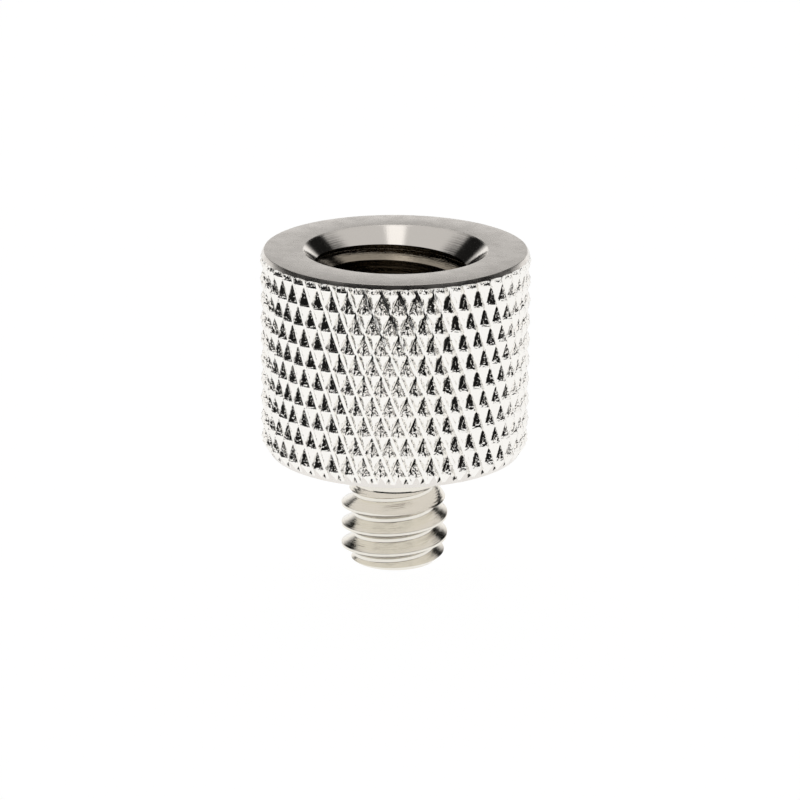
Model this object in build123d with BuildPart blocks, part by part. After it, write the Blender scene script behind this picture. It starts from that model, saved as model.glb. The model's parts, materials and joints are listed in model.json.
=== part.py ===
from build123d import *
from build123d.topology import SkipClean
import os
from math import ceil, cos, pi, radians, sin, tan

# Tripod thread adapter, turned from one piece of round bar. A knurled head carries a
# countersunk, tapped socket in its top, and a threaded stud stands out of its underside
# on a plain neck. Millimetres, +Z up. The origin is the centre of the stud's flat end,
# on which the adapter stands upright.

# Head: 5/8 inch bar, both edges turned back
head_diameter = 15.9
head_height = 12.2
top_chamfer = 0.5
bottom_chamfer_width = 0.5
bottom_chamfer_height = 0.8

# Diamond knurl on the head, rolled by two opposed helical wheels
knurl_starts = 48
knurl_depth = 0.42
knurl_row_rise = 1.21
knurl_first_row = 0.57
knurl_turn = 1.6

# Stud: 1/4 inch, 20 threads to the inch, with its end chamfered and its neck turned down
stud_length = 6.9
stud_diameter = 6.35
stud_pitch = 1.27
stud_end_chamfer = 0.625
stud_thread_stop = 1.9
neck_length = 2.7
neck_relief = 0.545
neck_taper_angle = 40

# Socket: 3/8 inch, 16 threads to the inch, tapped in a drilled hole
socket_diameter = 9.525
socket_pitch = 1.5875
socket_depth = 8.5
socket_thread_start = 1.25
socket_thread_turns = 4
drill_point_angle = 118
countersink_margin = 0.6625
countersink_angle = 90

# Both threads have 60 degree flanks, and a crest an eighth of the pitch wide
flank_slope = tan(radians(30))
crest_share = 1 / 8
stud_thread_depth_share = 0.6134
thread_start_angle = 90

# Every threaded cylinder is drawn as this many arcs, so a crest is a row of short lands
lands_per_turn = 12
# How far a cutting shape runs past the skin that it cuts
overcut = 0.2

shoulder_height = stud_length
top_height = stud_length + head_height
head_radius = head_diameter / 2
stud_radius = stud_diameter / 2
neck_radius = stud_radius - neck_relief
# A tap drill is one pitch smaller than the thread that it leaves room for
tap_drill_radius = (socket_diameter - socket_pitch) / 2


def knurl_point(column, row):
    """One corner of the knurl: a valley crossing or a diamond's tip, turn about."""
    is_tip = (column + row) % 2 == 1
    radius = head_radius if is_tip else head_radius - knurl_depth
    angle = radians(knurl_turn - 90) + column * pi / knurl_starts
    height = top_height - knurl_first_row - row * knurl_row_rise
    return Vector(radius * cos(angle), radius * sin(angle), height)


def knurled_bar():
    """A length of bar, longer than the head, whose skin is diamonds of four flat facets."""
    columns = 2 * knurl_starts
    first_row = -ceil(knurl_first_row / knurl_row_rise) - 1
    last_row = ceil((head_height - knurl_first_row) / knurl_row_rise) + 1

    def flat(*corners):
        return Face(Wire.make_polygon(corners, close=True))

    ends = [[knurl_point(column, row) for column in range(columns)] for row in (first_row, last_row)]
    facets = [flat(*end) for end in ends]
    for row in range(first_row, last_row):
        for column in range(columns):
            left, right = knurl_point(column, row), knurl_point(column + 1, row)
            low_left, low_right = knurl_point(column, row + 1), knurl_point(column + 1, row + 1)
            if (column + row) % 2 == 0:
                facets += [flat(left, right, low_right), flat(left, low_right, low_left)]
            else:
                facets += [flat(left, right, low_left), flat(right, low_right, low_left)]
    return Solid(Shell(facets))


def land_disc(radius):
    """A disc whose rim is drawn as short arcs, one for each land of a crest."""
    land = 360 / lands_per_turn
    starts = [(i + 0.5) * land for i in range(lands_per_turn)]
    rim = [Edge.make_circle(radius, start_angle=start, end_angle=start + land) for start in starts]
    return Face(Wire(rim))


def thread_turn(pitch, section):
    """One turn of a right-hand thread, swept round +Z from the start angle.

    The section is a list of (radius, height) corners in the plane of the axis.
    """
    with BuildPart() as turn:
        with BuildLine() as helix:
            Helix(pitch, pitch, section[0][0])
        with BuildSketch(Plane.XZ):
            with BuildLine():
                Polyline(*section, close=True)
            make_face()
        sweep(path=helix.line, is_frenet=True)
    return turn.part.moved(Rotation(0, 0, thread_start_angle))


with SkipClean():
    # Stud: a plain rod, cut by one turn of groove after another
    groove_depth = stud_thread_depth_share * stud_pitch
    groove_mouth = (1 - crest_share) * stud_pitch / 2
    groove_root = groove_mouth - groove_depth * flank_slope
    groove = thread_turn(
        stud_pitch,
        [
            (stud_radius - groove_depth, -groove_root),
            (stud_radius, -groove_mouth),
            (stud_radius + overcut, -groove_mouth),
            (stud_radius + overcut, groove_mouth),
            (stud_radius, groove_mouth),
            (stud_radius - groove_depth, groove_root),
        ],
    )
    groove_turns = ceil((stud_length - stud_thread_stop + groove_mouth) / stud_pitch)
    groove_top = shoulder_height - stud_thread_stop

    with BuildPart() as stud:
        extrude(land_disc(stud_radius), amount=shoulder_height, clean=False)
        for turn in range(groove_turns):
            with Locations((0, 0, groove_top - (turn + 1) * stud_pitch)):
                add(groove, mode=Mode.SUBTRACT, clean=False)
        # The turned outline: a chamfered end, and the plain neck with its taper
        with BuildSketch(Plane.XZ):
            with BuildLine():
                skin = stud_radius + overcut
                end_radius = stud_radius - stud_end_chamfer
                neck_end = shoulder_height - neck_length
                taper_end = neck_end - (skin - neck_radius) / tan(radians(neck_taper_angle))
                Polyline(
                    (0, 0),
                    (end_radius, 0),
                    (skin, skin - end_radius),
                    (skin, taper_end),
                    (neck_radius, neck_end),
                    (neck_radius, shoulder_height),
                    (0, shoulder_height),
                    close=True,
                )
            make_face()
        revolve(axis=Axis.Z, mode=Mode.INTERSECT, clean=False)

    # Socket, as the solid that is taken out of the head
    tap_depth = socket_diameter / 2 - tap_drill_radius
    ridge_crest = crest_share * socket_pitch / 2
    ridge_base = ridge_crest + tap_depth * flank_slope
    ridge = thread_turn(
        socket_pitch,
        [
            (tap_drill_radius - overcut, -ridge_base),
            (tap_drill_radius, -ridge_base),
            (socket_diameter / 2, -ridge_crest),
            (socket_diameter / 2, ridge_crest),
            (tap_drill_radius, ridge_base),
            (tap_drill_radius - overcut, ridge_base),
        ],
    )

    with BuildPart() as socket:
        with Locations((0, 0, top_height - socket_depth)):
            add(Solid.extrude(land_disc(tap_drill_radius), (0, 0, socket_depth)), clean=False)
        for turn in range(socket_thread_turns):
            with Locations((0, 0, top_height - socket_thread_start - turn * socket_pitch)):
                add(ridge, clean=False)
        # The countersink above and the drill's point below
        with BuildSketch(Plane.XZ):
            with BuildLine():
                mouth_radius = socket_diameter / 2 + countersink_margin
                cone_slope = tan(radians(countersink_angle / 2))
                Polyline(
                    (0, top_height - mouth_radius / cone_slope),
                    (mouth_radius + overcut * cone_slope, top_height + overcut),
                    (0, top_height + overcut),
                    close=True,
                )
            make_face()
            with BuildLine():
                drill_end = top_height - socket_depth
                point_height = tap_drill_radius / tan(radians(drill_point_angle / 2))
                Polyline(
                    (0, drill_end - point_height),
                    (tap_drill_radius, drill_end),
                    (0, drill_end),
                    close=True,
                )
            make_face()
        revolve(axis=Axis.Z, clean=False)

    with BuildPart() as adapter_body:
        add(knurled_bar(), clean=False)
        with BuildSketch(Plane.XZ):
            with BuildLine():
                skin = head_radius + overcut
                bottom_slope = bottom_chamfer_height / bottom_chamfer_width
                Polyline(
                    (0, shoulder_height),
                    (head_radius - bottom_chamfer_width, shoulder_height),
                    (skin, shoulder_height + (bottom_chamfer_width + overcut) * bottom_slope),
                    (skin, top_height - top_chamfer - overcut),
                    (head_radius - top_chamfer, top_height),
                    (0, top_height),
                    close=True,
                )
            make_face()
        revolve(axis=Axis.Z, mode=Mode.INTERSECT, clean=False)
        add(socket.part, mode=Mode.SUBTRACT, clean=False)
        add(stud.part, clean=False)

os.makedirs("parts", exist_ok=True)
adapter_body.part.label = "adapter_body"
export_step(adapter_body.part, "parts/adapter_body.step")
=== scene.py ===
"""Tripod thread adapter: a knurled, nickel plated head, a threaded stud and a tapped socket.

The adapter is turned from one bar, so it is made here as one piece. Its knurl and
its two threads follow rules, and geometry node trees build them. The turned
outlines trim them, as the lathe did.
"""

import json
import math

import bmesh
import bpy
from bpy.props import FloatProperty, FloatVectorProperty, IntProperty, PointerProperty
from mathutils import Matrix, Vector

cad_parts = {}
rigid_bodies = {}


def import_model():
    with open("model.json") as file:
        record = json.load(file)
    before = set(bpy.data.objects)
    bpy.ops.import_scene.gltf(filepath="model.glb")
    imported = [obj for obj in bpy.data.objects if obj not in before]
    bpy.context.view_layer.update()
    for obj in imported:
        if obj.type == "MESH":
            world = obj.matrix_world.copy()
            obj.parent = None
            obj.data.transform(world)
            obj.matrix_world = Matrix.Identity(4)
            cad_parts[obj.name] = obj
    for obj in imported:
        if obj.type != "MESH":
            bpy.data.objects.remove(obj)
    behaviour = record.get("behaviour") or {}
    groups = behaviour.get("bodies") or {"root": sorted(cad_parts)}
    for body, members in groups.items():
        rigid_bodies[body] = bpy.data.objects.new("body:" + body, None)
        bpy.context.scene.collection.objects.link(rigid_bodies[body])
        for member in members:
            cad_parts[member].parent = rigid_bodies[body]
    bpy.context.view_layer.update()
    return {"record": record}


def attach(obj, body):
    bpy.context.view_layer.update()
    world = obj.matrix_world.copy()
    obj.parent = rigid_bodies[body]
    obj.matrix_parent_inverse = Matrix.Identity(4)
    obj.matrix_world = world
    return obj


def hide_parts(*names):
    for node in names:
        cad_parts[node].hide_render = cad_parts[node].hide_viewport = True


bl_info = {
    "name": "Tripod Thread Adapter",
    "version": (1, 0, 0),
    "blender": (4, 5, 0),
    "location": "3D View > Sidebar > Adapter",
    "description": "Builds a knurled thread adapter and the light tent round it",
    "category": "Object",
}

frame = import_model()

MM = 0.001
PIECE = "adapter"
THREAD = "Threaded rod"
TRIM = "Trim to outline"
NODE = "adapter_body"
MOUNTS = {mount["name"]: mount for mount in frame["record"]["mounts"]}
SHOULDER = MOUNTS["shoulder"]["pos_m"][2]
TOP = MOUNTS["top_face"]["pos_m"][2]
STUD_RADIUS = MOUNTS["stud"]["dims"]["r_mm"] * MM
TAP_DRILL_RADIUS = MOUNTS["socket"]["dims"]["r_mm"] * MM

# A turned blank's skin stands this far outside the metal that it trims
CLEARANCE = 0.2 * MM
# Shapes run this far past a face where they are joined or cut
OVERLAP = 0.3 * MM
# Both threads have 60 degree flanks and slightly rounded crests and roots
FLANK_ANGLE = math.radians(30)
THREAD_ROUNDING = 0.03 * MM
THREAD_SEGMENTS = 112
# Half the angle of a drill's point
DRILL_POINT = math.radians(59)
# Points nearer than this become one
MERGE_DISTANCE = 1e-6

MATH = "ShaderNodeMath"
VECTOR = "ShaderNodeVectorMath"
XYZ = "ShaderNodeCombineXYZ"
NOISE = "ShaderNodeTexNoise"
RANGE = "ShaderNodeMapRange"


def length(name, millimetres, description):
    """A size in metres that a user can change."""
    return FloatProperty(
        name=name, description=description, default=millimetres * MM, unit="LENGTH", precision=5
    )


def angle(name, degrees, description):
    """An angle in radians that a user can change."""
    return FloatProperty(
        name=name, description=description, default=math.radians(degrees), subtype="ANGLE"
    )


def linear(shade):
    """The linear colour of an sRGB hex value such as 'd8d2c8'."""
    channels = [int(shade[i : i + 2], 16) / 255 for i in (0, 2, 4)]
    return tuple(c / 12.92 if c <= 0.04045 else ((c + 0.055) / 1.055) ** 2.4 for c in channels)


def colour(name, shade, description):
    """A colour that a user can change. Its default is an sRGB hex value."""
    return FloatVectorProperty(
        name=name, description=description, default=linear(shade), subtype="COLOR", size=3, min=0, max=1
    )


class AdapterHead(bpy.types.PropertyGroup):
    """The knurled head."""

    radius: length("Radius", 7.95, "From the axis to the knurl's tips")
    top_width: length("Top chamfer width", 0.24, "How far the upper chamfer reaches inwards")
    rim_height: length("Rim height", 0.2, "From the top face down to where the grooves run out")
    top_height: length("Top chamfer height", 0.42, "How far the upper chamfer reaches downwards")
    bottom_width: length("Bottom chamfer width", 0.5, "How far the lower chamfer reaches inwards")
    bottom_height: length("Bottom chamfer height", 0.8, "How far the lower chamfer reaches upwards")
    edge_break: length("Edge break", 0.05, "Radius left on the turned edges")
    knurl_starts: IntProperty(
        name="Knurl starts", description="Diamonds round the head", default=48, min=3
    )
    knurl_rows: IntProperty(
        name="Knurl rows", description="Rows of tips, with one above and two below", default=13
    )
    knurl_depth: length("Knurl depth", 0.36, "From a tip to the crossing of two grooves")
    knurl_rise: length("Row rise", 1.21, "From one row of tips to the next")
    knurl_first: length("First row", 0.57, "From the top face down to the first row of tips")
    knurl_turn: angle("Knurl turn", 1.6, "Turn of the pattern round the axis")
    knurl_land: FloatProperty(
        name="Groove land", description="Share of a groove that is flat", default=0.2
    )
    knurl_torn: length("Torn metal", 0.06, "Height of the torn metal above the tips")
    knurl_wander: length("Unevenness", 0.02, "How far the facets wander from flat")
    knurl_detail: IntProperty(
        name="Detail", description="Strips across each diamond", default=10, min=2, max=16
    )


class AdapterStud(bpy.types.PropertyGroup):
    """The threaded stud and its neck."""

    pitch: length("Pitch", 1.27, "From crest to crest")
    depth: length("Thread depth", 0.779, "From crest to root")
    crest: length("Crest width", 0.159, "Width of the flat along a crest")
    end_radius: length("End radius", 2.55, "Radius of the flat end, inside its chamfer")
    neck_radius: length("Neck radius", 2.38, "Radius of the relieved neck, just under the thread's root")
    neck_length: length("Neck length", 2.12, "From the shoulder to the end of the neck")
    neck_fillet: length("Neck fillet", 0.35, "Radius where the neck turns into its taper")
    thread_start: length("Thread start", 0.63, "From the shoulder to a groove's middle, at the back")
    taper: angle("Taper", 36, "Slope of the neck's end")


class AdapterSocket(bpy.types.PropertyGroup):
    """The countersunk, tapped socket."""

    radius: length("Thread radius", 4.7625, "From the axis to the bottom of the thread's groove")
    pitch: length("Pitch", 1.5875, "From groove to groove")
    groove: length("Groove width", 0.198, "Width of the flat at the bottom of the groove")
    mouth_radius: length("Mouth radius", 5.425, "Radius of the countersink at the top face")
    thread_start: length("Thread start", 1.25, "From the top face to the groove, at the back")
    thread_depth: length("Thread depth", 6.4, "How far down the thread is cut")
    drill_depth: length("Drill depth", 8.5, "How far down the drilled wall reaches")


class AdapterFinish(bpy.types.PropertyGroup):
    """The nickel plate's colours."""

    knurl: colour("Knurl", "f8f6f2", "Bright plate on the rolled knurl")
    turned: colour("Turned faces", "ebe7e2", "Satin plate on the turned faces")
    thread: colour("Stud", "e9e5dc", "Warmer plate on the stud's thread")
    # The socket's darker colour is painted shade down in the hole
    bore: colour("Socket", "a39a8c", "Thin, dark plate down in the socket")


class AdapterStage(bpy.types.PropertyGroup):
    """The camera and the light tent."""

    distance: length("Distance", 198, "From the axis to the camera, measured level")
    height: length("Height", 54.6, "How far the camera stands above the top face")
    aim_right: length("Aim right", 0.3, "How far right of the adapter's middle the camera points")
    aim_down: length("Aim down", -0.25, "How far below the adapter's middle the camera points")
    lens: FloatProperty(name="Focal length", description="Lens on a 36 mm sensor, in mm", default=158)
    roll: angle("Roll", 0.3, "Tilt of the picture")


def add(tree, kind, *values, **settings):
    """Adds a node with its settings.

    Its inputs take nodes, sockets or plain values in order, and None skips one.
    """
    node = tree.nodes.new(kind)
    for option, setting in settings.items():
        setattr(node, option, setting)
    sockets = [socket for socket in node.inputs if socket.enabled]
    for socket, value in zip(sockets, values):
        if isinstance(value, bpy.types.Node):
            value = next(output for output in value.outputs if output.enabled)
        if isinstance(value, bpy.types.NodeSocket):
            tree.links.new(value, socket)
        elif value is not None:
            socket.default_value = value
    return node


def new_tree(name, inputs):
    """A geometry node tree with named inputs, given as {name: socket type}.

    Returns the tree and its inputs as {name: socket}.
    """
    tree = bpy.data.node_groups.new(name, "GeometryNodeTree")
    for label, kind in inputs.items():
        tree.interface.new_socket(label, in_out="INPUT", socket_type="NodeSocket" + kind)
    tree.interface.new_socket("Geometry", in_out="OUTPUT", socket_type="NodeSocketGeometry")
    given = tree.nodes.new("NodeGroupInput")
    return tree, {label: given.outputs[label] for label in inputs}


def close_tree(tree, geometry, material, selection=None):
    """Ends a tree in Realize Instances and Set Material."""
    real = add(tree, "GeometryNodeRealizeInstances", geometry)
    painted = add(tree, "GeometryNodeSetMaterial", real, selection, material)
    add(tree, "NodeGroupOutput", painted)


def grow(name, tree, values):
    """Runs a tree with these inputs and returns its result as a plain mesh object."""
    made = bpy.data.objects.new(name, bpy.data.meshes.new(name))
    bpy.context.scene.collection.objects.link(made)
    modifier = made.modifiers.new(name, "NODES")
    modifier.node_group = tree
    for label, value in values.items():
        modifier[tree.interface.items_tree[label].identifier] = value
    view = bpy.context.evaluated_depsgraph_get()
    mesh = bpy.data.meshes.new_from_object(made.evaluated_get(view))
    made.modifiers.remove(modifier)
    # A boolean would mix up the materials of a mesh that has an empty slot
    for slot in reversed(range(len(mesh.materials))):
        if mesh.materials[slot] is None:
            mesh.materials.pop(index=slot)
    made.data = mesh
    mesh.name = name
    return made


def remove(*objects):
    """Takes away shapes that were only needed to make others."""
    for spare in objects:
        bpy.data.objects.remove(spare)


def rounded(corners, steps=5):
    """An outline with its corners rounded. A corner is (x, z) or (x, z, radius)."""
    points = []
    for i, corner in enumerate(corners):
        here = Vector(corner[:2])
        if len(corner) == 2:
            points.append(here)
            continue
        back = (Vector(corners[i - 1][:2]) - here).normalized()
        ahead = (Vector(corners[i + 1][:2]) - here).normalized()
        half = back.angle(ahead) / 2
        centre = here + (back + ahead).normalized() * corner[2] / math.sin(half)
        first = here + back * corner[2] / math.tan(half) - centre
        last = here + ahead * corner[2] / math.tan(half) - centre
        points += [centre + first.slerp(last, step / steps) * corner[2] for step in range(steps + 1)]
    return points


def turned(name, corners, segments=192):
    """A solid of revolution from an outline that starts and ends on the axis, with rounded corners."""
    shape = bmesh.new()
    points = [shape.verts.new((x, 0, z)) for x, z in rounded(corners)]
    edges = [shape.edges.new(pair) for pair in zip(points, points[1:])]
    bmesh.ops.spin(
        shape,
        geom=points + edges,
        axis=(0, 0, 1),
        cent=(0, 0, 0),
        angle=math.tau,
        steps=segments,
        use_merge=True,
    )
    bmesh.ops.remove_doubles(shape, verts=shape.verts, dist=1e-7)
    bmesh.ops.recalc_face_normals(shape, faces=shape.faces)
    mesh = bpy.data.meshes.new(name)
    shape.to_mesh(mesh)
    shape.free()
    made = bpy.data.objects.new(name, mesh)
    bpy.context.scene.collection.objects.link(made)
    return made


def thread_section(name, inner, outer, outer_flat, pitch):
    """One pitch of a thread's section, from mid crest to mid crest, as a line of (radius, 0, height)."""
    flank = (outer - inner) * math.tan(FLANK_ANGLE)
    inner_flat = pitch - outer_flat - 2 * flank
    corners = [
        (outer, 0),
        (outer, outer_flat / 2, THREAD_ROUNDING),
        (inner, pitch / 2 - inner_flat / 2, THREAD_ROUNDING),
        (inner, pitch / 2 + inner_flat / 2, THREAD_ROUNDING),
        (outer, pitch - outer_flat / 2, THREAD_ROUNDING),
        (outer, pitch),
    ]
    points = rounded(corners, steps=3)
    mesh = bpy.data.meshes.new(name)
    mesh.from_pydata([(x, 0, z) for x, z in points], [(i, i + 1) for i in range(len(points) - 1)], [])
    return bpy.data.objects.new(name, mesh)


def knurl_tree():
    """A closed bar whose skin is diamonds: one diamond, repeated over a flat sheet that is rolled up."""
    tree, given = new_tree(
        "Knurled bar",
        {
            "Starts": "Int",
            "Rows": "Int",
            "Radius": "Float",
            "Depth": "Float",
            "Rise": "Float",
            "Top row": "Float",
            "Rim": "Float",
            "Turn": "Float",
            "Land": "Float",
            "Torn": "Float",
            "Wander": "Float",
            "Detail": "Int",
            "Material": "Material",
        },
    )

    # One diamond, two columns wide and two rows high, with its tip in the middle and its sides in
    # the grooves
    side = add(tree, MATH, given["Detail"], 1.0, operation="ADD")
    diamond = add(tree, "GeometryNodeMeshGrid", 1.0, 1.0, side, side)
    stretch = (math.sqrt(2), math.sqrt(2), 1)
    diamond = add(tree, "GeometryNodeTransform", diamond, None, (0, 0, math.radians(45)), stretch)
    # The tips: every other column, offset by one on every other row. Rows count upwards and end at 1
    columns = add(tree, MATH, given["Starts"], 1.0, operation="SUBTRACT")
    across = add(tree, MATH, columns, 2.0, operation="MULTIPLY")
    down = add(tree, MATH, given["Rows"], 1.0, operation="SUBTRACT")
    tips = add(tree, "GeometryNodeMeshGrid", across, down, given["Starts"], given["Rows"])
    place = add(tree, "ShaderNodeSeparateXYZ", add(tree, "GeometryNodeInputPosition"))
    row = add(tree, MATH, down, -0.5, place.outputs["Y"], operation="MULTIPLY_ADD")
    row = add(tree, MATH, row, 1.0, operation="ADD")
    odd = add(tree, MATH, row, 1.0, operation="ADD")
    odd = add(tree, MATH, odd, 2.0, operation="FLOORED_MODULO")
    column = add(tree, MATH, place.outputs["X"], columns, operation="ADD")
    column = add(tree, MATH, column, odd, operation="ADD")
    tips = add(tree, "GeometryNodeSetPosition", tips, None, add(tree, XYZ, column, row))
    sheet = add(tree, "GeometryNodeInstanceOnPoints", tips, None, diamond)
    sheet = add(tree, "GeometryNodeRealizeInstances", sheet)

    # The height over the sheet is the lower of two waves, one for each set of grooves. The second
    # wheel's grooves run down to the right and have a flat land
    place = add(tree, "ShaderNodeSeparateXYZ", add(tree, "GeometryNodeInputPosition"))
    column, row = place.outputs["X"], place.outputs["Y"]
    waves = []
    for operation in ("ADD", "SUBTRACT"):
        wave = add(tree, MATH, column, row, operation=operation)
        wave = add(tree, MATH, wave, 0.5, operation="MULTIPLY")
        wave = add(tree, MATH, wave, 0.5, operation="PINGPONG")
        waves.append(add(tree, MATH, wave, 2.0, operation="MULTIPLY"))
    second = add(tree, RANGE, waves[0], given["Land"], 1.0, 0.0, 1.0)
    height = add(tree, MATH, second, waves[1], operation="MINIMUM")

    # Rolled up round the axis. The first and last rows are drawn in to the axis, which closes the bar
    lowest = add(tree, MATH, 1.0, down, operation="SUBTRACT")
    level = add(tree, MATH, row, lowest, operation="MAXIMUM")
    level = add(tree, MATH, level, 1.0, operation="MINIMUM")
    under = add(tree, MATH, level, 0.999, operation="LESS_THAN")
    over = add(tree, MATH, level, add(tree, MATH, lowest, 0.001, operation="ADD"), operation="GREATER_THAN")
    step = add(tree, MATH, math.pi, given["Starts"], operation="DIVIDE")
    bearing = add(tree, MATH, column, step, given["Turn"], operation="MULTIPLY_ADD")
    bearing = add(tree, MATH, bearing, math.pi / 2, operation="SUBTRACT")
    up = add(tree, MATH, level, given["Rise"], given["Top row"], operation="MULTIPLY_ADD")
    cosine = add(tree, MATH, bearing, operation="COSINE")
    around = add(tree, XYZ, cosine, add(tree, MATH, bearing, operation="SINE"))
    # The grooves run out over the last 0.1 mm under the rim
    rim = add(tree, MATH, given["Rim"], 0.1 * MM, operation="SUBTRACT")
    rim = add(tree, RANGE, up, rim, given["Rim"], 0.0, 1.0)
    height = add(tree, MATH, height, rim, operation="MAXIMUM")
    depth = add(tree, MATH, height, 1.0, operation="SUBTRACT")
    radius = add(tree, MATH, depth, given["Depth"], given["Radius"], operation="MULTIPLY_ADD")

    # The wheels tore the metal just above the tips, and no two facets are quite alike. The noise
    # runs round the head and up its rows, so that it has no seam. Burrs stand on the upper facets,
    # from the tip to 0.6 of a row above it, and fade towards the grooves
    spot = add(tree, XYZ, None, None, add(tree, MATH, row, 1.2, operation="MULTIPLY"))
    spot = add(tree, VECTOR, around, (8, 8, 8), spot, operation="MULTIPLY_ADD")
    coarse = add(tree, NOISE, spot, 1.3)
    fine = add(tree, NOISE, spot, 4.0)
    above = add(tree, MATH, add(tree, MATH, row, 0.001, operation="ADD"), operation="FRACT")
    near_tip = add(tree, MATH, above, 0.6, operation="LESS_THAN")
    torn = add(tree, MATH, above, -0.6, height, operation="MULTIPLY_ADD")
    torn = add(tree, RANGE, torn, 0.1, 0.45, 0.0, 1.0)
    torn = add(tree, MATH, torn, near_tip, operation="MULTIPLY")
    burr = add(tree, MATH, fine, 0.62, operation="SUBTRACT")
    torn = add(tree, MATH, torn, burr, operation="MULTIPLY")
    radius = add(tree, MATH, torn, given["Torn"], radius, operation="MULTIPLY_ADD")
    swing = add(tree, MATH, coarse, 0.5, operation="SUBTRACT")
    radius = add(tree, MATH, swing, given["Wander"], radius, operation="MULTIPLY_ADD")
    radius = add(tree, MATH, radius, given["Radius"], operation="MINIMUM")
    between = add(tree, MATH, under, over, operation="MULTIPLY")
    radius = add(tree, MATH, radius, between, operation="MULTIPLY")

    skin = add(tree, VECTOR, around, add(tree, XYZ, radius, radius), operation="MULTIPLY")
    skin = add(tree, VECTOR, skin, add(tree, XYZ, None, None, up), operation="ADD")
    bar = add(tree, "GeometryNodeSetPosition", sheet, None, skin)
    bar = add(tree, "GeometryNodeMergeByDistance", bar, None, MERGE_DISTANCE)
    close_tree(tree, bar, given["Material"])
    return tree


def thread_tree():
    """A closed rod with a thread along it: one pitch of the section is carried round and up as a helix."""
    tree, given = new_tree(
        THREAD,
        {
            "Section": "Object",
            "Pitch": "Float",
            "Turns": "Int",
            "Segments": "Int",
            "Start": "Float",
            "Material": "Material",
        },
    )
    section = add(tree, "GeometryNodeObjectInfo", given["Section"]).outputs["Geometry"]
    count = add(tree, "GeometryNodeAttributeDomainSize", section).outputs["Point Count"]
    steps = add(tree, MATH, given["Turns"], given["Segments"], operation="MULTIPLY")
    rows = add(tree, MATH, count, 1.0, operation="SUBTRACT")
    stations = add(tree, MATH, steps, 1.0, operation="ADD")
    sheet = add(tree, "GeometryNodeMeshGrid", steps, rows, stations, count)
    place = add(tree, "ShaderNodeSeparateXYZ", add(tree, "GeometryNodeInputPosition"))
    i = add(tree, MATH, steps, 0.5, place.outputs["X"], operation="MULTIPLY_ADD")
    i = add(tree, MATH, i, operation="ROUND")
    j = add(tree, MATH, rows, 0.5, place.outputs["Y"], operation="MULTIPLY_ADD")
    j = add(tree, MATH, j, operation="ROUND")
    # The section's point number j, carried to step i of the helix
    here = add(tree, "GeometryNodeInputPosition")
    sample = add(tree, "GeometryNodeSampleIndex", section, here, j, data_type="FLOAT_VECTOR")
    sample = add(tree, "ShaderNodeSeparateXYZ", sample)
    turn = add(tree, MATH, i, given["Segments"], operation="DIVIDE")
    up = add(tree, MATH, turn, given["Pitch"], sample.outputs["Z"], operation="MULTIPLY_ADD")
    up = add(tree, MATH, up, given["Start"], operation="ADD")
    # Groove starts are at the back of the adapter
    bearing = add(tree, MATH, turn, math.tau, math.pi / 2, operation="MULTIPLY_ADD")

    # The free edges at both ends are drawn in to the axis, which closes the rod
    last_row = add(tree, MATH, rows, 0.5, operation="SUBTRACT")
    last_step = add(tree, MATH, steps, 0.5, operation="SUBTRACT")
    first_turn = add(tree, MATH, given["Segments"], 0.5, operation="SUBTRACT")
    last_turn = add(tree, MATH, given["Segments"], -1.0, operation="ADD")
    last_turn = add(tree, MATH, last_step, last_turn, operation="SUBTRACT")
    ends = []
    for test, edge, row_edge, turn_edge, far_row in (
        ("LESS_THAN", 0.5, last_row, first_turn, 0.5),
        ("GREATER_THAN", last_step, 0.5, last_turn, last_row),
    ):
        cap = add(tree, MATH, i, edge, operation=test)
        cap = add(tree, MATH, cap, add(tree, MATH, j, row_edge, operation=test), operation="MULTIPLY")
        rim = add(tree, MATH, j, far_row, operation=test)
        rim = add(tree, MATH, rim, add(tree, MATH, i, turn_edge, operation=test), operation="MULTIPLY")
        ends.append(add(tree, MATH, cap, rim, operation="MAXIMUM"))
    low_end, high_end = ends
    low = given["Start"]
    high = add(tree, MATH, given["Turns"], given["Pitch"], given["Start"], operation="MULTIPLY_ADD")
    high = add(tree, MATH, high, given["Pitch"], operation="ADD")
    ended = add(tree, MATH, low_end, high_end, operation="MAXIMUM")
    kept = add(tree, MATH, 1.0, ended, operation="SUBTRACT")
    radius = add(tree, MATH, sample.outputs["X"], kept, operation="MULTIPLY")
    up = add(tree, "ShaderNodeMix", low_end, up, low, data_type="FLOAT")
    up = add(tree, "ShaderNodeMix", high_end, up, high, data_type="FLOAT")
    x = add(tree, MATH, radius, add(tree, MATH, bearing, operation="COSINE"), operation="MULTIPLY")
    y = add(tree, MATH, radius, add(tree, MATH, bearing, operation="SINE"), operation="MULTIPLY")
    rod = add(tree, "GeometryNodeSetPosition", sheet, None, add(tree, XYZ, x, y, up))
    rod = add(tree, "GeometryNodeMergeByDistance", rod, None, MERGE_DISTANCE)
    close_tree(tree, rod, given["Material"])
    return tree


def threaded_rod(name, section, pitch, turns, start, material):
    """A threaded rod from its start upwards: these turns, and two more to reach past the face."""
    tree = bpy.data.node_groups.get(THREAD) or thread_tree()
    return grow(
        name,
        tree,
        {
            "Section": section,
            "Pitch": pitch,
            "Turns": turns + 2,
            "Segments": THREAD_SEGMENTS,
            "Start": start,
            "Material": material,
        },
    )


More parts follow.
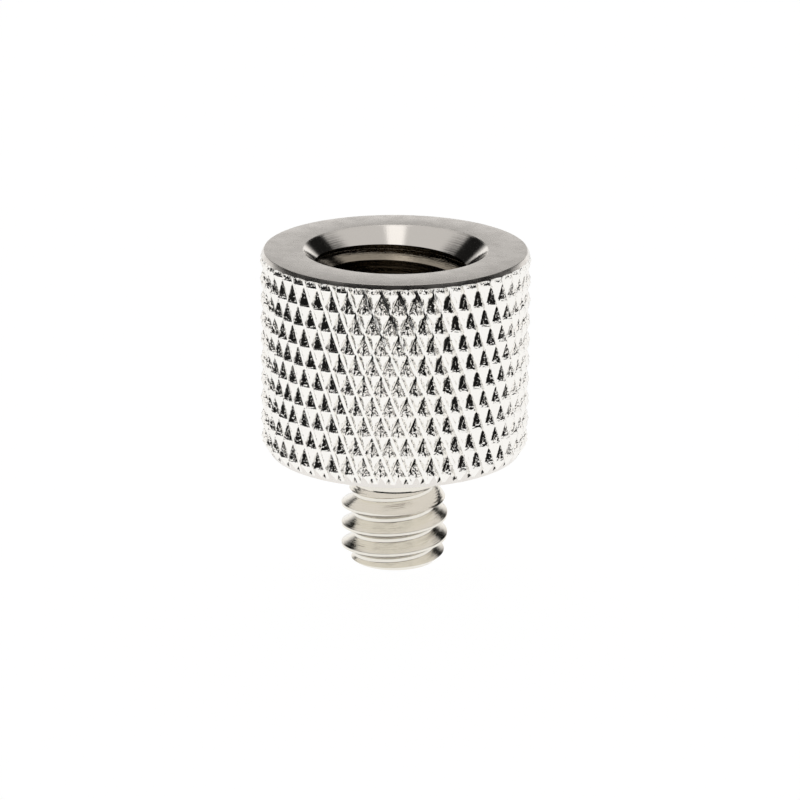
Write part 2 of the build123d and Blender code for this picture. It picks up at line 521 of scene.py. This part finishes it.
def trim_tree():
    """What a turned blank and a bar have in common. The blank's own faces get the given material."""
    tree, given = new_tree(TRIM, {"Blank": "Object", "Bar": "Object", "Material": "Material"})
    blank = add(tree, "GeometryNodeObjectInfo", given["Blank"]).outputs["Geometry"]
    bar = add(tree, "GeometryNodeObjectInfo", given["Bar"]).outputs["Geometry"]
    blank = add(tree, "GeometryNodeSetMaterial", blank, None, given["Material"])
    cut = add(tree, "GeometryNodeMeshBoolean", operation="INTERSECT", solver="MANIFOLD")
    for mesh in (blank.outputs[0], bar):
        tree.links.new(mesh, cut.inputs["Mesh 2"])
    real = add(tree, "GeometryNodeRealizeInstances", cut)
    add(tree, "NodeGroupOutput", real)
    return tree


def join_tree():
    """The head with its socket taken out and its stud put on, shaded smooth apart from its real edges."""
    tree, given = new_tree(
        "One piece",
        {
            "Head": "Object",
            "Socket": "Object",
            "Stud": "Object",
            "Knurled": "Material",
            "Threaded": "Material",
            "Bored": "Material",
            "Turned": "Material",
        },
    )
    head, socket, stud = (
        add(tree, "GeometryNodeObjectInfo", given[name]).outputs["Geometry"]
        for name in ("Head", "Socket", "Stud")
    )
    bored = add(tree, "GeometryNodeMeshBoolean", head, socket, operation="DIFFERENCE", solver="MANIFOLD")
    whole = add(tree, "GeometryNodeMeshBoolean", operation="UNION", solver="MANIFOLD")
    for mesh in (bored.outputs[0], stud):
        tree.links.new(mesh, whole.inputs["Mesh 2"])
    bend = add(tree, "GeometryNodeInputMeshEdgeAngle")
    hard = add(tree, MATH, bend, math.radians(25), operation="GREATER_THAN")
    smooth = add(tree, "GeometryNodeSetShadeSmooth", whole, None, True, domain="FACE")
    smooth = add(tree, "GeometryNodeSetShadeSmooth", smooth, hard, False, domain="EDGE")
    knurled = add(tree, "GeometryNodeMaterialSelection", given["Knurled"])
    threaded = add(tree, "GeometryNodeMaterialSelection", given["Threaded"])
    threaded = add(tree, "FunctionNodeBooleanMath", knurled, threaded, operation="OR")
    inside = add(tree, "GeometryNodeMaterialSelection", given["Bored"])
    rest = add(tree, "FunctionNodeBooleanMath", inside, threaded, operation="NOR")
    close_tree(tree, smooth, given["Turned"], rest)
    return tree


def new_material(name):
    """A material without nodes. Returns it and its tree."""
    material = bpy.data.materials.new(name)
    material.use_nodes = True
    material.node_tree.nodes.clear()
    return material, material.node_tree


def plate(tree, tint, roughness, relief, depth, strength=1.0):
    """Ends a material in nickel plate: a metal of one warm grey, whose relief is this deep."""
    bump = add(tree, "ShaderNodeBump", strength, depth, None, relief)
    # In order: colour, metallic, roughness, IOR, alpha, normal. The IOR stays at its default
    shader = add(tree, "ShaderNodeBsdfPrincipled", (*tint, 1), 1.0, roughness, None, None, bump)
    add(tree, "ShaderNodeOutputMaterial", shader)


def knurled_nickel(finish, head):
    """Nickel plate over a rolled knurl: burnished bright on the facets, and torn above the tips."""
    material, tree = new_material("knurled_nickel")
    place = add(tree, "ShaderNodeTexCoord").outputs["Object"]
    x, y, z = add(tree, "ShaderNodeSeparateXYZ", place).outputs
    # Rows of tips are counted upwards and columns round the head, as the knurl's own tree does
    row = add(tree, MATH, z, TOP - head.knurl_first, operation="SUBTRACT")
    row = add(tree, MATH, row, head.knurl_rise, operation="DIVIDE")
    column = add(tree, MATH, y, x, operation="ARCTAN2")
    column = add(tree, MATH, column, head.knurl_turn, operation="SUBTRACT")
    column = add(tree, MATH, column, math.pi / 2, operation="ADD")
    column = add(tree, MATH, column, head.knurl_starts / math.pi, operation="MULTIPLY")
    # Over a tip, how far inside the grooves a point lies: 1 at the tip, and under 0 outside them
    above = add(tree, MATH, row, operation="FRACT")
    aside = add(tree, MATH, column, add(tree, MATH, row, operation="CEIL"), operation="SUBTRACT")
    aside = add(tree, MATH, aside, 0.5, operation="MULTIPLY")
    aside = add(tree, MATH, aside, 0.5, operation="PINGPONG")
    inside = add(tree, MATH, aside, -2.0, 1.0, operation="MULTIPLY_ADD")
    inside = add(tree, MATH, inside, above, operation="SUBTRACT")
    # The torn metal has a ragged edge, burrs and a duller plate
    ragged = add(tree, NOISE, place, 1 / (0.22 * MM), 2.0)
    edge = add(tree, MATH, ragged, 0.7, inside, operation="MULTIPLY_ADD")
    torn = add(tree, RANGE, edge, 0.58, 0.70, 0.0, 1.0)
    burrs = add(tree, NOISE, place, 1 / (0.2 * MM), 1.0)
    burrs = add(tree, MATH, burrs, torn, operation="MULTIPLY")
    # Streaks that the wheels drew up and down the facets
    streaks = add(tree, VECTOR, place, (1, 1, 0.15), operation="MULTIPLY")
    streaks = add(tree, NOISE, streaks, 1 / (0.12 * MM), 2.0)
    relief = add(tree, MATH, burrs, 5.5, streaks, operation="MULTIPLY_ADD")
    rough = add(tree, MATH, torn, 0.08, 0.08, operation="MULTIPLY_ADD")
    plate(tree, finish.knurl, rough, relief, 0.012 * MM)
    return material


def turned_nickel(finish, mouth):
    """Nickel plate over a turned face: satin from the tool's fine rings, and dulled in patches."""
    material, tree = new_material("turned_nickel")
    place = add(tree, "ShaderNodeTexCoord").outputs["Object"]
    flat = add(tree, VECTOR, place, (1, 1, 0), operation="MULTIPLY")
    reach = add(tree, VECTOR, flat, operation="LENGTH").outputs["Value"]
    rings = add(tree, NOISE, reach, 1 / (0.08 * MM), 2.0, noise_dimensions="1D")
    grain = add(tree, NOISE, place, 1 / (0.1 * MM), 3.0)
    relief = add(tree, MATH, grain, 0.8, rings, operation="MULTIPLY_ADD")
    patches = add(tree, NOISE, place, 1 / (0.9 * MM), 4.0)
    worn = add(tree, RANGE, patches, 0.3, 0.7, 0.2, 0.34)
    # The countersink's tool left a brighter finish
    rough = add(tree, RANGE, reach, mouth - 0.1 * MM, mouth, 0.1, worn)
    plate(tree, finish.turned, rough, relief, 0.004 * MM, strength=0.5)
    return material


def threaded_nickel(name, tint):
    """Nickel plate over a cut thread: a warmer grey, with faint lines that run along the groove."""
    material, tree = new_material(name)
    place = add(tree, "ShaderNodeTexCoord").outputs["Object"]
    flat = add(tree, VECTOR, place, (1, 1, 0), operation="MULTIPLY")
    reach = add(tree, VECTOR, flat, operation="LENGTH").outputs["Value"]
    # The lines change across a flank, and slowly along it
    across = add(tree, XYZ, None, None, add(tree, MATH, reach, 25.0, operation="MULTIPLY"))
    lines = add(tree, VECTOR, place, across, operation="ADD")
    lines = add(tree, NOISE, lines, 1 / (1.5 * MM), 3.0)
    rough = add(tree, RANGE, lines, 0.35, 0.65, 0.06, 0.18)
    plate(tree, tint, rough, lines, 0.018 * MM)
    return material


class ADAPTER_OT_knurled_head(bpy.types.Operator):
    """Rolls the knurl and trims it to the head's turned outline"""

    bl_idname = "adapter.knurled_head"
    bl_label = "Knurled Head"

    def execute(self, context):
        size = context.scene.adapter_head
        socket = context.scene.adapter_socket
        finish = context.scene.adapter_finish
        knurled = knurled_nickel(finish, size)
        bar = grow(
            "knurled_bar",
            knurl_tree(),
            {
                "Starts": size.knurl_starts,
                "Rows": size.knurl_rows,
                "Radius": size.radius,
                "Depth": size.knurl_depth,
                "Rise": size.knurl_rise,
                "Top row": TOP - size.knurl_first,
                "Rim": TOP - size.rim_height,
                "Turn": size.knurl_turn,
                "Land": size.knurl_land,
                "Torn": size.knurl_torn,
                "Wander": size.knurl_wander,
                "Detail": size.knurl_detail,
                "Material": knurled,
            },
        )
        skin = size.radius + CLEARANCE
        slope = size.bottom_height / size.bottom_width
        rim_slope = size.top_height / size.top_width
        # The countersink's cone ends inside the drilled hole
        bore = TAP_DRILL_RADIUS - 0.4 * MM
        drop = socket.mouth_radius - bore
        blank = turned(
            "head_blank",
            [
                (0, SHOULDER),
                (size.radius - size.bottom_width, SHOULDER, size.edge_break),
                (skin, SHOULDER + (size.bottom_width + CLEARANCE) * slope),
                (skin, TOP - size.top_height - CLEARANCE * rim_slope),
                (size.radius - size.top_width, TOP, size.edge_break),
                (socket.mouth_radius, TOP, size.edge_break),
                (bore, TOP - drop),
                (0, TOP - drop),
            ],
        )
        plated = turned_nickel(finish, socket.mouth_radius)
        grow("knurled_head", trim_tree(), {"Blank": blank, "Bar": bar, "Material": plated})
        remove(bar, blank)
        return {"FINISHED"}


class ADAPTER_OT_threaded_stud(bpy.types.Operator):
    """Cuts the thread on the stud and turns its end, its taper and its neck"""

    bl_idname = "adapter.threaded_stud"
    bl_label = "Threaded Stud"

    def execute(self, context):
        size = context.scene.adapter_stud
        root = STUD_RADIUS - size.depth
        section = thread_section("stud_section", root, STUD_RADIUS, size.crest, size.pitch)
        # The section runs from crest to crest, so the rod starts half a pitch below a groove
        groove = SHOULDER - size.thread_start
        turns = math.ceil(groove / size.pitch) + 2
        start = groove - (turns + 0.5) * size.pitch
        plated = threaded_nickel("threaded_nickel", context.scene.adapter_finish.thread)
        rod = threaded_rod("stud_rod", section, size.pitch, turns, start, plated)
        skin = STUD_RADIUS + CLEARANCE
        neck_end = SHOULDER - size.neck_length
        taper_end = neck_end - (skin - size.neck_radius) / math.tan(size.taper)
        blank = turned(
            "stud_blank",
            [
                (0, 0),
                (size.end_radius, 0),
                (skin, skin - size.end_radius),
                (skin, taper_end),
                (size.neck_radius, neck_end, size.neck_fillet),
                (size.neck_radius, SHOULDER + OVERLAP),
                (0, SHOULDER + OVERLAP),
            ],
        )
        grow("threaded_stud", bpy.data.node_groups[TRIM], {"Blank": blank, "Bar": rod, "Material": plated})
        remove(rod, blank, section)
        return {"FINISHED"}


class ADAPTER_OT_tapped_socket(bpy.types.Operator):
    """Makes the solid that is taken out of the head: the drilled and tapped hole"""

    bl_idname = "adapter.tapped_socket"
    bl_label = "Tapped Socket"

    def execute(self, context):
        size = context.scene.adapter_socket
        section = thread_section("socket_section", TAP_DRILL_RADIUS, size.radius, size.groove, size.pitch)
        # These turns reach below the drill's point
        turns = 9
        start = TOP - size.thread_start - turns * size.pitch
        # The socket's plate takes the darker colour, which paints the shade in the hole
        plated = threaded_nickel("bore_nickel_painted_shade", context.scene.adapter_finish.bore)
        rod = threaded_rod("socket_rod", section, size.pitch, turns, start, plated)
        # The drilled wall lies a hair inside the thread's crests, and the thread runs out into it
        drilled = TAP_DRILL_RADIUS - 0.02 * MM
        skin = size.radius + CLEARANCE / 2
        drill_end = TOP - size.drill_depth
        thread_end = TOP - size.thread_depth
        blank = turned(
            "socket_blank",
            [
                (0, drill_end - drilled / math.tan(DRILL_POINT)),
                (drilled, drill_end),
                (drilled, thread_end - (skin - drilled)),
                (skin, thread_end),
                (skin, TOP + OVERLAP),
                (0, TOP + OVERLAP),
            ],
        )
        grow("tapped_socket", bpy.data.node_groups[TRIM], {"Blank": blank, "Bar": rod, "Material": plated})
        remove(rod, blank, section)
        return {"FINISHED"}


class ADAPTER_OT_one_piece(bpy.types.Operator):
    """Puts the stud on the head, takes out the socket and lets the result stand for the solid"""

    bl_idname = "adapter.one_piece"
    bl_label = "One Piece"

    def execute(self, context):
        objects, materials = bpy.data.objects, bpy.data.materials
        head, socket, stud = (objects[name] for name in ("knurled_head", "tapped_socket", "threaded_stud"))
        adapter = grow(
            PIECE,
            join_tree(),
            {
                "Head": head,
                "Socket": socket,
                "Stud": stud,
                "Knurled": materials["knurled_nickel"],
                "Threaded": materials["threaded_nickel"],
                "Bored": materials["bore_nickel_painted_shade"],
                "Turned": materials["turned_nickel"],
            },
        )
        remove(head, socket, stud)
        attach(adapter, "root")
        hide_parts(NODE)
        return {"FINISHED"}


class ADAPTER_OT_stage(bpy.types.Operator):
    """Sets up the floor, the light tent and the camera"""

    bl_idname = "adapter.stage"
    bl_label = "Stage"

    def execute(self, context):
        stage = context.scene.adapter_stage
        context.scene.view_settings.view_transform = "Standard"
        make_floor()
        make_tent(context.scene)
        middle = Vector((0, 0, TOP / 2))
        eye = Vector((0, -stage.distance, TOP + stage.height))
        ahead = (middle - eye).normalized()
        up = Vector((1, 0, 0)).cross(ahead)
        aim = middle + Vector((stage.aim_right, 0, 0)) - up * stage.aim_down
        lens = bpy.data.cameras.new("camera")
        lens.lens = stage.lens
        # From 10 mm to 10 m, so that the adapter and the whole table are seen
        lens.clip_start = 0.01
        lens.clip_end = 10
        camera = bpy.data.objects.new("camera", lens)
        context.scene.collection.objects.link(camera)
        look = (aim - eye).to_track_quat("-Z", "Y").to_matrix() @ Matrix.Rotation(stage.roll, 3, "Z")
        camera.matrix_world = Matrix.Translation(eye) @ look.to_4x4()
        context.scene.camera = camera
        return {"FINISHED"}


def make_floor():
    """A white table that ends just in front of the adapter. It keeps the adapter's shadow."""
    mesh = bpy.data.meshes.new("floor")
    # In metres
    side, front, back = 1.0, -0.06, 1.5
    corners = [(-side, front, 0), (side, front, 0), (side, back, 0), (-side, back, 0)]
    mesh.from_pydata(corners, [], [(0, 1, 2, 3)])
    floor = bpy.data.objects.new("floor", mesh)
    bpy.context.scene.collection.objects.link(floor)
    # Matt white paint, which looks evenly lit to the camera and in reflections. A tenth of what is
    # seen is the lit paint, which carries the shadow, and the rest glows a little over white
    material, tree = new_material("white_table")
    paint = add(tree, "ShaderNodeBsdfDiffuse", (0.9, 0.9, 0.9, 1))
    glow = add(tree, "ShaderNodeEmission", (1, 1, 1, 1), 1.08)
    path = add(tree, "ShaderNodeLightPath").outputs
    seen = add(tree, MATH, path["Is Camera Ray"], path["Is Glossy Ray"], operation="MAXIMUM")
    seen = add(tree, MATH, seen, path["Is Transmission Ray"], operation="MAXIMUM")
    seen = add(tree, MATH, seen, 0.9, operation="MULTIPLY")
    mixed = add(tree, "ShaderNodeMixShader", seen, paint, glow)
    add(tree, "ShaderNodeOutputMaterial", mixed)
    mesh.materials.append(material)


def make_tent(scene):
    """A light tent as the world: white round the horizon, dark in front, with a lit panel overhead."""
    world = bpy.data.worlds.new("light_tent")
    scene.world = world
    world.use_nodes = True
    tree = world.node_tree
    tree.nodes.clear()
    way = add(tree, "ShaderNodeSeparateXYZ", add(tree, "ShaderNodeTexCoord").outputs["Generated"])
    x, y, z = way.outputs

    aside = add(tree, MATH, x, operation="ABSOLUTE")
    level = add(tree, VECTOR, add(tree, XYZ, x, y), operation="LENGTH").outputs["Value"]
    # The tent's dark opening faces the camera and reaches a little further to the left
    forward = add(tree, MATH, x, -0.1, operation="MULTIPLY")
    forward = add(tree, MATH, y, -0.995, forward, operation="MULTIPLY_ADD")
    forward = add(tree, MATH, forward, level, operation="DIVIDE")
    # Each area fades in between two limits, of a direction whose length is 1
    areas = {}
    for area, value, start, end in (
        ("closed", forward, 0.62, 0.52),
        ("near horizon", z, 0.30, 0.14),
        ("wall", z, 0.50, 0.34),
        ("wall's width", aside, 0.50, 0.36),
        ("overhead", y, -0.42, -0.28),
        ("panel", z, 0.57, 0.64),
        ("panel's width", aside, 0.70, 0.60),
        ("lamp", z, 0.88, 0.93),
        ("lamp's width", aside, 0.17, 0.09),
    ):
        areas[area] = add(tree, RANGE, value, start, end, 0.0, 1.0, interpolation_type="SMOOTHSTEP")
    # How bright they are, where the horizon is 1
    wall_light, panel_light, lamp_light, dark_cloth = 0.57, 0.62, 0.5, 0.01
    wall = add(tree, MATH, areas["wall"], areas["wall's width"], operation="MULTIPLY")
    wall = add(tree, MATH, wall, wall_light, operation="MULTIPLY")
    band = add(tree, MATH, areas["near horizon"], wall, operation="MAXIMUM")
    band = add(tree, MATH, band, areas["closed"], operation="MULTIPLY")
    panel = add(tree, MATH, areas["panel"], areas["panel's width"], operation="MULTIPLY")
    lamp = add(tree, MATH, areas["lamp"], areas["lamp's width"], operation="MULTIPLY")
    lamp = add(tree, MATH, lamp, lamp_light, operation="MULTIPLY")
    above = add(tree, MATH, panel, panel_light, lamp, operation="MULTIPLY_ADD")
    above = add(tree, MATH, above, areas["overhead"], band, operation="MULTIPLY_ADD")
    glow = add(tree, MATH, above, dark_cloth, operation="ADD")
    # The metal shows the tent. The camera sees a plain white backdrop in its place
    path = add(tree, "ShaderNodeLightPath").outputs
    seen = add(tree, MATH, path["Is Camera Ray"], path["Is Transmission Ray"], operation="MAXIMUM")
    light = add(tree, "ShaderNodeBackground", (1.0, 0.98, 0.96, 1), glow)
    backdrop = add(tree, "ShaderNodeBackground", (1, 1, 1, 1), 1.0)
    mixed = add(tree, "ShaderNodeMixShader", seen, light, backdrop)
    add(tree, "ShaderNodeOutputWorld", mixed)


class ADAPTER_PT_panel(bpy.types.Panel):
    """Lists the sizes and the steps"""

    bl_label = "Thread Adapter"
    bl_space_type = "VIEW_3D"
    bl_region_type = "UI"
    bl_category = "Adapter"

    def draw(self, context):
        for group in GROUPS:
            box = self.layout.box()
            box.label(text=group.__doc__.rstrip("."))
            settings = getattr(context.scene, scene_name(group))
            for name in group.__annotations__:
                box.prop(settings, name)
        for step in STEPS:
            self.layout.operator(step.bl_idname)


GROUPS = (AdapterHead, AdapterStud, AdapterSocket, AdapterFinish, AdapterStage)
STEPS = (
    ADAPTER_OT_knurled_head,
    ADAPTER_OT_threaded_stud,
    ADAPTER_OT_tapped_socket,
    ADAPTER_OT_one_piece,
    ADAPTER_OT_stage,
)


def scene_name(group):
    """The scene property that holds a group: AdapterHead is adapter_head."""
    return group.__name__.replace("Adapter", "adapter_").lower()


def register():
    for item in (*GROUPS, *STEPS, ADAPTER_PT_panel):
        bpy.utils.register_class(item)
    for group in GROUPS:
        setattr(bpy.types.Scene, scene_name(group), PointerProperty(type=group))


def unregister():
    for group in GROUPS:
        delattr(bpy.types.Scene, scene_name(group))
    for item in reversed((*GROUPS, *STEPS, ADAPTER_PT_panel)):
        bpy.utils.unregister_class(item)


def main():
    register()
    bpy.ops.adapter.knurled_head()
    bpy.ops.adapter.threaded_stud()
    bpy.ops.adapter.tapped_socket()
    bpy.ops.adapter.one_piece()
    bpy.ops.adapter.stage()


if __name__ == "__main__":
    main()
